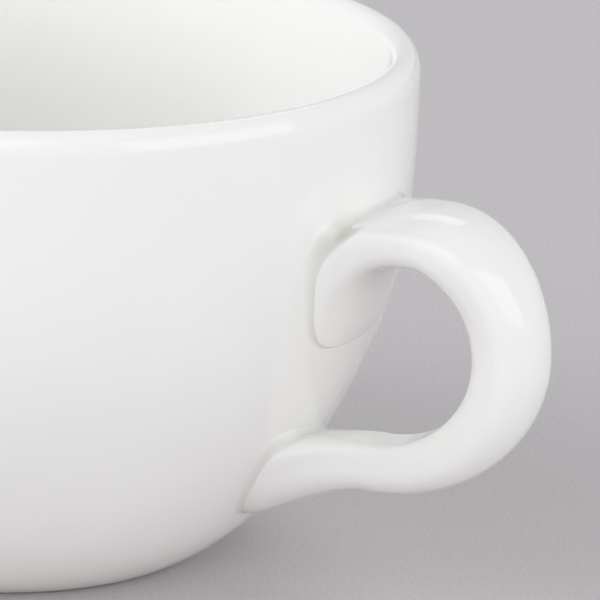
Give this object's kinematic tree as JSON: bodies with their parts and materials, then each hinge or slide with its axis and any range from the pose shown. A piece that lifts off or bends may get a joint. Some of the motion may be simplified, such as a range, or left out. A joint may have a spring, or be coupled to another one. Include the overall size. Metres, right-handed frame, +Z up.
{
  "type": "espresso cup",
  "caption": "Low white glazed porcelain cup with a round-bottomed bowl, rounded lip, turned foot ring and looped side handle, for serving espresso.",
  "frame": {"origin": "on the bowl's axis, in the plane that the foot ring stands on", "axes": "+Z up along the bowl's axis, +X from the axis towards the handle, whose middle plane is XZ"},
  "size_m": [0.0856, 0.07, 0.044],
  "materials": {
    "body_glaze": "clear gloss glaze over white porcelain, bare on the foot ring's standing face",
    "handle_glaze": "clear gloss glaze over white porcelain",
    "slip_glaze": "gloss glaze pooled in the seam, slightly green-grey"
  },
  "bodies": {
    "root": {"cup_body": "body_glaze", "handle": "handle_glaze", "upper_slip_joint": "slip_glaze", "lower_slip_joint": "slip_glaze"}
  },
  "joints": []
}
